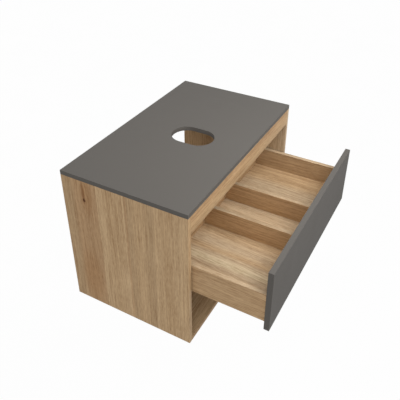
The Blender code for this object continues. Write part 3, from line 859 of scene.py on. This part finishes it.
def combined(work, others, operation):
    """The solid with the other solids taken out of it or joined on."""
    objects = [add_object("solid", mesh_of("solid", part)) for part in (work, *others)]
    for other in objects[1:]:
        modifier = objects[0].modifiers.new("solid", "BOOLEAN")
        modifier.operation = operation
        modifier.solver = "EXACT"
        modifier.object = other
    bpy.context.view_layer.update()
    graph = bpy.context.evaluated_depsgraph_get()
    result = bmesh.new()
    result.from_object(objects[0], graph)
    for used in objects:
        bpy.data.meshes.remove(used.data)
    bmesh.ops.remove_doubles(result, verts=result.verts, dist=WELD)
    bmesh.ops.dissolve_degenerate(result, edges=result.edges, dist=WELD)
    return result


def carved(work, *cutters):
    """The solid with the cutters taken out of it."""
    return combined(work, cutters, "DIFFERENCE")


def rounded(work, radius, chosen, steps=2):
    """The solid with its chosen sharp edges rounded."""
    edges = [edge for edge in work.edges if edge.calc_face_angle(0) > SHARP and chosen(edge)]
    round_edges(work, edges, radius, steps)
    return work


def any_edge(edge):
    """The test that every edge passes."""
    return True


def runs_along(axis):
    """A test for the edges that run along an axis."""

    def test(edge):
        run = edge.verts[1].co - edge.verts[0].co
        return abs(run[axis]) > PARALLEL * run.length

    return test


def copies(work, places):
    """One solid with a copy of the shape at every place."""
    mesh = mesh_of("shape", work)
    together = bmesh.new()
    for place in places:
        shape = mesh.copy()
        shape.transform(place)
        together.from_mesh(shape)
        bpy.data.meshes.remove(shape)
    bpy.data.meshes.remove(mesh)
    return together


def replace(node, work, slot):
    """A fitting's piece, which stands in for its CAD node."""
    piece = piece_from(work, f"{node}_fitting", BODY_OF[node], slot)
    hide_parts(node)


# --- Screws and cams ---


def end_of(node, direction):
    """The middle of the side of the node's box that lies in the direction."""
    low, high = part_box(node)
    middle = (low + high) / 2
    half = (high - low) / 2
    return middle + Vector(direction[axis] * half[axis] for axis in (X, Y, Z))


def screw(shank, length, head, rise, pitch, recess):
    """A cross-recessed pan-head screw along Z, its shank below Z 0 and its head above."""
    neck = shank * SCREW_NECK
    rings = [(shank * SCREW_TIP, -length, 0.0)]
    rings += thread(shank, shank * SCREW_TAPER - length, -pitch, pitch, shank * SCREW_THREAD)
    rings += [(neck, -pitch / 2, 0.0), (neck, 0.0, 0.0)]
    rings += [(head * share, rise * height, 0.0) for share, height in PAN_HEAD]
    cutter = cross(head * CROSS_REACH, head * CROSS_WIDTH, rise - recess, rise + PROUD)
    return carved(turned(rings, pitch), cutter)


def add_screw(node, sizes, towards):
    """A screw along Y that fills its node's box, with its head at the end that `towards` names."""
    low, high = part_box(node)
    towards = Vector(towards)
    rise = sizes["rise"]
    work = screw(length=high.y - low.y - rise, head=(high.x - low.x) / 2, **sizes)
    work.transform(frame_at(end_of(node, towards) - towards * rise, (1, 0, 0), towards))
    replace(node, work, "zinc")


def add_screws():
    """The hangers' adjusting screws and the screws that hold the drawer's front."""
    for side in ("left", "right"):
        for use in ("height", "depth"):
            add_screw(f"{use}_screw_{side}", ADJUSTER, (0, -1, 0))
    for number in (1, 2, 3):
        add_screw(f"front_screw_{number}", FRONT_SCREW, (0, 1, 0))


def add_fixings(name, body, sizes, seats):
    """The screws that hold a fitting, which have no CAD nodes of their own."""
    piece_from(copies(screw(**sizes), seats), name, body, "zinc")


def cam():
    """A cam disc below Z 0, its face ringed by a rim and crossed by a recess; the bolt enters at +X."""
    rings = [
        (CAM_RADIUS - CAM_CHAMFER, -CAM_THICKNESS, 0.0),
        (CAM_RADIUS, CAM_CHAMFER - CAM_THICKNESS, 0.0),
        (CAM_RADIUS, -CAM_FLANK, 0.0),
        (CAM_RADIUS - CAM_FLANK, 0.0, 0.0),
        (CAM_RADIUS - CAM_RIM, 0.0, 0.0),
        (CAM_RADIUS - CAM_RIM - CAM_FLANK, -CAM_DISH, 0.0),
        (CAM_BOSS + CAM_FLANK, -CAM_DISH, 0.0),
        (CAM_BOSS, 0.0, 0.0),
        (CAM_BOSS - CAM_CHAMFER, 0.0, 0.0),
    ]
    axis = frame_at((0, 0, -CAM_AXIS_DEPTH), (0, 1, 0), (1, 0, 0))
    mouth = drill(CAM_BORE, -CAM_BORE, CAM_RADIUS + CAM_BORE, axis)
    recess = cross(CAM_CROSS_REACH, CAM_CROSS_WIDTH, -CAM_CROSS_REACH, PROUD)
    arrow = prism(CAM_ARROW, -CAM_ARROW_DEPTH, PROUD)
    return carved(turned(rings, steps=CAM_STEPS), mouth, recess, arrow)


def cam_bolt(low, high):
    """A cam bolt along Z: its thread below Z 0, its collar, stem and ball head above."""
    rings = [(radius, low + place, 0.0) for radius, place in BOLT_TIP]
    rings += thread(BOLT_THREAD_RADIUS, low + BOLT_TAPER, -BOLT_NECK, BOLT_PITCH, BOLT_THREAD_DEPTH)
    rings += [(radius, place, 0.0) for radius, place in BOLT_SHOULDER + BOLT_COLLAR]
    rings += [(radius, high + place, 0.0) for radius, place in BOLT_STEM]
    for degrees in BOLT_HEAD_TURNS:
        angle = math.radians(degrees)
        radius = BOLT_HEAD_CORE + BOLT_HEAD_BULGE * math.cos(angle)
        rings.append((radius, high - BOLT_HEAD_HALF + BOLT_HEAD_HALF * math.sin(angle), 0.0))
    return turned(rings, BOLT_PITCH)


def directions_of(label):
    """The direction that a fitting's bolt points from the cam, and the normal of the cam's face."""
    outwards = Vector((-1 if label.endswith("left") else 1, 0, 0))
    if label.startswith("top"):
        return Vector((0, 0, 1)), -outwards
    face = {"bottom": (0, 0, -1), "front": (0, 1, 0), "back": (0, -1, 0)}[label.split("_")[0]]
    return outwards, Vector(face)


def add_cams():
    """Every pair of cam disc and cam bolt."""
    labels = [node[len("cam_bolt_"):] for node in sorted(frame["nodes"]) if node.startswith("cam_bolt_")]
    for label in labels:
        towards, face = directions_of(label)
        disc = cam()
        disc.transform(frame_at(end_of(f"cam_{label}", face), towards, face))
        replace(f"cam_{label}", disc, "zinc")
        tip = end_of(f"cam_bolt_{label}", towards)
        length = (end_of(f"cam_bolt_{label}", -towards) - tip).length
        bolt = cam_bolt(-BOLT_THREAD_LENGTH, length - BOLT_THREAD_LENGTH)
        bolt.transform(frame_at(tip - towards * BOLT_THREAD_LENGTH, face, -towards))
        replace(f"cam_bolt_{label}", bolt, "steel")


# --- Hangers ---


def housing_pockets(low, high, sign, room):
    """Cutters for the four pockets that the ribs leave in the face towards the room."""
    middle = (low + high) / 2
    first_end, second_start = HOUSING_CORE
    floor = room + sign * HOUSING_POCKET
    front = (low.y + HOUSING_WALL, low.y + first_end)
    rear = (low.y + second_start, high.y - HOUSING_LAND)
    lower = (low.z + HOUSING_WALL, middle.z - HOUSING_HALF_RIB)
    upper = (middle.z + HOUSING_HALF_RIB, high.z - HOUSING_WALL)
    pockets = []
    for y_low, y_high in (front, rear):
        for z_low, z_high in (lower, upper):
            pocket = block((room - sign * CLEAR, y_low, z_low), (floor, y_high, z_high))
            pockets.append(rounded(pocket, HOUSING_POCKET_CORNER, runs_along(X), EDGE_STEPS))
    return pockets


def add_hangers():
    """The pressed housings in the rear top corners, their fixing screws and their hooks."""
    for side, sign in SIDES:
        node = f"hanger_housing_{side}"
        low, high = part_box(node)
        middle = (low + high) / 2
        room = high.x if sign < 0 else low.x
        work = rounded(solid_of(node), HOUSING_EDGE, outer_edge(low, high), EDGE_STEPS)
        cutters = housing_pockets(low, high, sign, room)
        seats = []
        for lift in (-HOUSING_SEAT_LIFT, HOUSING_SEAT_LIFT):
            centre = (room + sign * SEAT_DEPTH, high.y - HOUSING_SEAT_INSET, middle.z + lift)
            seats.append(frame_at(centre, (0, 1, 0), (-sign, 0, 0)))
            cutters.append(drill(HOUSING_SEAT_RADIUS, 0.0, DRILL_REACH, seats[-1]))
        replace(node, carved(work, *cutters), "steel")
        add_fixings(f"hanger_fixings_{side}", BODY_OF[node], HANGER_FIXING, seats)
        node = f"hanger_hook_{side}"
        replace(node, rounded(solid_of(node), HOOK_EDGE, any_edge, EDGE_STEPS), "steel")


# --- Runners ---


def rail_holes(low, wall, sign, flange_z):
    """Cutters for the row of slots and spare holes along the flange, and the screws' seats in it."""
    cutters = []
    seats = []
    for number, offset in enumerate(RAIL_FIXINGS):
        y = low.y + offset
        upright = (0, 0, 1) if number % 2 else (0, 1, 0)
        cutters.append(oblong(*RAIL_SLOT, frame_at((wall, y, flange_z), upright, (sign, 0, 0))))
        seats.append(frame_at((wall - sign * SEAT_DEPTH, y, flange_z), (0, 1, 0), (-sign, 0, 0)))
        spare = frame_at((wall, y + RAIL_SPARE_STEP, flange_z), (0, 1, 0), (sign, 0, 0))
        cutters.append(oblong(*RAIL_SPARE_HOLE, spare))
    return cutters, seats


def add_cabinet_rail(side, sign):
    """The channel on the side panel, with its slots, its stiffening beads and its fixing screws."""
    node = f"cabinet_rail_{side}"
    low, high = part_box(node)
    wall = low.x if sign < 0 else high.x
    middle = (low.y + high.y) / 2
    work = rounded(solid_of(node), RAIL_EDGE, runs_along(Y), EDGE_STEPS)
    cutters, seats = rail_holes(low, wall, sign, high.z - RAIL_HOLE_DROP)
    for offset in CABINET_SLOTS:
        place = frame_at((wall - sign * CABINET_SLOT_INSET, middle + offset, low.z), (0, 1, 0), (0, 0, 1))
        cutters.append(oblong(*CABINET_SLOT, place))
    work = carved(work, *cutters)
    beads = []
    for inset in BEAD_INSETS:
        place = frame_at((wall - sign * inset, middle, low.z + BEAD_LIFT), (0, 1, 0), (0, 0, 1))
        bead = oblong(high.y - low.y - 2 * BEAD_MARGIN, *BEAD, place)
        beads.append(rounded(bead, BEAD_EDGE, any_edge))
    work = combined(work, beads, "UNION")
    replace(node, work, "steel")
    add_fixings(f"rail_fixings_{side}", BODY_OF[node], RAIL_FIXING, seats)


def add_balls(side, flank, edge, inwards, start, groove_z):
    """A row of balls in their cage, in the running groove behind one flank of a middle rail."""
    body = BODY_OF[f"middle_rail_{side}"]
    ball_x = edge + inwards * (RUNNING_GROOVE - BALL_RADIUS)
    strip_x = edge + inwards * (RUNNING_GROOVE - CAGE_SHEET)
    centres = [start + BALL_FIRST + BALL_STEP * number for number in range(BALLS)]
    first = (strip_x, centres[0] - CAGE_END, groove_z - CAGE_HALF_HEIGHT)
    last = (strip_x - inwards * CAGE_SHEET, centres[-1] + CAGE_END, groove_z + CAGE_HALF_HEIGHT)
    windows = []
    for y in centres:
        place = frame_at((strip_x, y, groove_z), (0, 1, 0), (1, 0, 0))
        windows.append(drill(CAGE_WINDOW, -DRILL_REACH, DRILL_REACH, place))
    cage = carved(rounded(block(first, last), CAGE_EDGE, any_edge), *windows)
    piece_from(cage, f"ball_cage_{flank}_{side}", body, "dark_plastic")
    ball = bmesh.new()
    around, up = BALL_STEPS
    bmesh.ops.create_uvsphere(ball, u_segments=around, v_segments=up, radius=BALL_RADIUS - BALL_PLAY)
    places = [Matrix.Translation((ball_x, y, groove_z)) for y in centres]
    piece_from(copies(ball, places), f"runner_balls_{flank}_{side}", body, "steel")


def add_middle_rail(side):
    """The rolled middle profile, open below, with its ball cages down both flanks."""
    node = f"middle_rail_{side}"
    low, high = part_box(node)
    past = MIDDLE_RAIL_OVERRUN
    web = RUNNING_GROOVE + RAIL_SHEET
    first = (low.x + web, low.y - past, low.z - past)
    last = (high.x - web, high.y + past, high.z - RAIL_SHEET)
    hollow = rounded(block(first, last), MIDDLE_RAIL_CORNER, runs_along(Y), EDGE_STEPS)
    work = rounded(solid_of(node), RAIL_EDGE, runs_along(Y), EDGE_STEPS)
    replace(node, carved(work, hollow), "steel")
    groove_z = (low.z + high.z) / 2
    add_balls(side, "left", low.x, 1, low.y, groove_z)
    add_balls(side, "right", high.x, -1, low.y, groove_z)


def add_drawer_rail(side):
    """The rolled profile under the drawer's floor, slotted along both flanks."""
    node = f"drawer_rail_{side}"
    low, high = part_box(node)
    middle = (low + high) / 2
    work = rounded(solid_of(node), RAIL_EDGE, runs_along(Y), EDGE_STEPS)
    cutters = []
    for offset in DRAWER_SLOTS:
        centre = (middle.x, middle.y + offset, low.z + DRAWER_SLOT_LIFT)
        cutters.append(oblong(*DRAWER_SLOT, frame_at(centre, (0, 1, 0), (1, 0, 0))))
    replace(node, carved(work, *cutters), "steel")


# --- Locking clips ---


def clip_pockets(start_y, flank, sign, under):
    """Cutters for the pockets in the clip's underside, and the screws' seats in the outer two."""
    pockets = []
    seats = []
    for number in range(CLIP_POCKETS):
        start = start_y + CLIP_POCKET_FIRST + number * CLIP_POCKET_STEP
        near = (flank + sign * CLIP_POCKET_NEAR, start, under - CLEAR)
        far = (flank + sign * CLIP_POCKET_FAR, start + CLIP_POCKET_LENGTH, under + CLIP_POCKET_DEPTH)
        pockets.append(rounded(block(near, far), CLIP_POCKET_CORNER, runs_along(Z), EDGE_STEPS))
        if number in (0, CLIP_POCKETS - 1):
            centre = (near[0] + far[0]) / 2
            seat = (centre, start + CLIP_POCKET_LENGTH / 2, under + CLIP_SEAT_DEPTH)
            seats.append(frame_at(seat, (1, 0, 0), (0, 0, -1)))
    return pockets, seats


def add_clip_body(side, sign):
    """The moulded clip with its pockets, its gripping ribs and its screws."""
    node = f"clip_body_{side}"
    low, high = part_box(node)
    under = high.z - CLIP_HEIGHT
    flank = high.x if sign < 0 else low.x
    on_case = outer_edge(Vector((low.x, low.y, under)), high)
    work = rounded(solid_of(node), CLIP_EDGE, on_case, EDGE_STEPS)
    cutters, seats = clip_pockets(low.y, flank, sign, under)
    for number in range(CLIP_GRIPS):
        start = low.y + CLIP_GRIP_FIRST + number * CLIP_GRIP_STEP
        near = (flank - sign * CLEAR, start, under + CLIP_GRIP_FOOT)
        far = (flank + sign * CLIP_GRIP_DEPTH, start + CLIP_GRIP_LENGTH, high.z - CLIP_GRIP_TOP)
        cutters.append(block(near, far))
    replace(node, carved(work, *cutters), "dark_plastic")
    add_fixings(f"clip_fixings_{side}", BODY_OF[node], CLIP_FIXING, seats)


def add_clip_lever(side):
    """The release lever, with ridges across its finger pad."""
    node = f"clip_lever_{side}"
    low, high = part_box(node)
    ridges = []
    for number in range(RIDGES):
        start = high.y - RIDGE_FIRST - number * RIDGE_STEP
        near = (low.x - CLEAR, start, low.z - CLEAR)
        ridges.append(block(near, (high.x + CLEAR, start + RIDGE_WIDTH, low.z + RIDGE_DEPTH)))
    work = carved(rounded(solid_of(node), LEVER_EDGE, any_edge), *ridges)
    replace(node, work, "dark_plastic")


def add_fittings():
    add_screws()
    add_cams()
    add_hangers()
    for side, sign in SIDES:
        add_cabinet_rail(side, sign)
        add_middle_rail(side)
        add_drawer_rail(side)
        add_clip_body(side, sign)
        add_clip_lever(side)


# --- Stage ---


def add_camera():
    """The camera, high at the front left."""
    azimuth = math.radians(CAMERA_AZIMUTH)
    tilt = math.radians(CAMERA_TILT)
    forward = Vector(
        (math.sin(azimuth) * math.cos(tilt), math.cos(azimuth) * math.cos(tilt), -math.sin(tilt))
    )
    level = forward.to_track_quat("-Z", "Y").to_matrix().to_4x4()
    aim = Matrix.Rotation(math.radians(CAMERA_ROLL), 4, forward) @ level
    data = bpy.data.cameras.new("camera")
    data.lens = LENS
    data.shift_x, data.shift_y = SHIFT
    camera = add_object("camera", data)
    camera.matrix_world = Matrix.Translation(CAMERA_PLACE) @ aim
    bpy.context.scene.camera = camera


def studio_material():
    """The pale floor and backdrop, lit mostly by themselves so that they stay even."""
    shader = Shader("studio")
    mottle = shader.speckle(3)
    dim = tuple(STUDIO_DIM * channel for channel in STUDIO_COLOUR)
    glow = shader.ramp(mottle, [(0.0, dim), (1.0, STUDIO_COLOUR)])
    return shader.finish(
        Base_Color=STUDIO_BASE,
        Roughness=0.9,
        Specular_IOR_Level=0.0,
        Emission_Color=glow,
        Emission_Strength=1.0,
    )


def add_stage_piece(name, work, material):
    """A piece of the studio, which neither lights nor shades the object."""
    piece = add_object(name, mesh_of(name, work))
    piece.data.materials.append(material)
    piece.visible_diffuse = False
    piece.visible_glossy = False
    piece.visible_shadow = False


def add_studio():
    """A pale floor far below the unit and a backdrop all round it."""
    material = studio_material()
    floor = bmesh.new()
    spot = Matrix.Translation((0, 0, UNDERSIDE - FLOOR_DROP))
    bmesh.ops.create_grid(floor, x_segments=1, y_segments=1, size=STUDIO_REACH, matrix=spot)
    add_stage_piece("floor", floor, material)
    backdrop = bmesh.new()
    around, up = BACKDROP_STEPS
    bmesh.ops.create_uvsphere(backdrop, u_segments=around, v_segments=up, radius=STUDIO_REACH)
    add_stage_piece("backdrop", backdrop, material)


def sky_strength(tree):
    """The sky's brightness: the sum of soft lobes, each strongest in its own direction."""
    look = tree.nodes.new("ShaderNodeTexCoord").outputs["Generated"]
    total = None
    for towards, gather, power in SKY_LOBES:
        facing = tree.nodes.new("ShaderNodeVectorMath")
        facing.operation = "DOT_PRODUCT"
        facing.inputs[1].default_value = Vector(towards).normalized()
        tree.links.new(look, facing.inputs[0])
        value = facing.outputs["Value"]
        for operation, number in (("MAXIMUM", 0.0), ("POWER", gather), ("MULTIPLY", power)):
            step = tree.nodes.new("ShaderNodeMath")
            step.operation = operation
            step.inputs[1].default_value = number
            tree.links.new(value, step.inputs[0])
            value = step.outputs[0]
        if total is not None:
            add = tree.nodes.new("ShaderNodeMath")
            tree.links.new(total, add.inputs[0])
            tree.links.new(value, add.inputs[1])
            value = add.outputs[0]
        total = value
    return total


def add_light():
    """The sky and one soft lamp above the front of the unit."""
    world = bpy.data.worlds.new("studio")
    world.use_nodes = True
    sky = world.node_tree.nodes["Background"]
    sky.inputs["Color"].default_value = (1.0, 1.0, 1.0, 1.0)
    world.node_tree.links.new(sky_strength(world.node_tree), sky.inputs["Strength"])
    bpy.context.scene.world = world
    data = bpy.data.lights.new("softbox", "AREA")
    data.shape = "SQUARE"
    data.size = LAMP_SIZE
    data.energy = LAMP_POWER
    lamp = add_object("softbox", data)
    turn = (Vector(LAMP_PLACE) - Vector(LAMP_AIM)).to_track_quat("Z", "Y").to_matrix().to_4x4()
    lamp.matrix_world = Matrix.Translation(LAMP_PLACE) @ turn
    bpy.context.scene.view_settings.view_transform = "Standard"


CHIPBOARD = chipboard_material()
FINISH_OF = {
    "grey_board": grey_material(),
    "steel": steel_material(),
    "zinc": zinc_material(),
    "dark_plastic": plastic_material(),
}

add_boards()
add_fittings()
add_studio()
add_light()
add_camera()
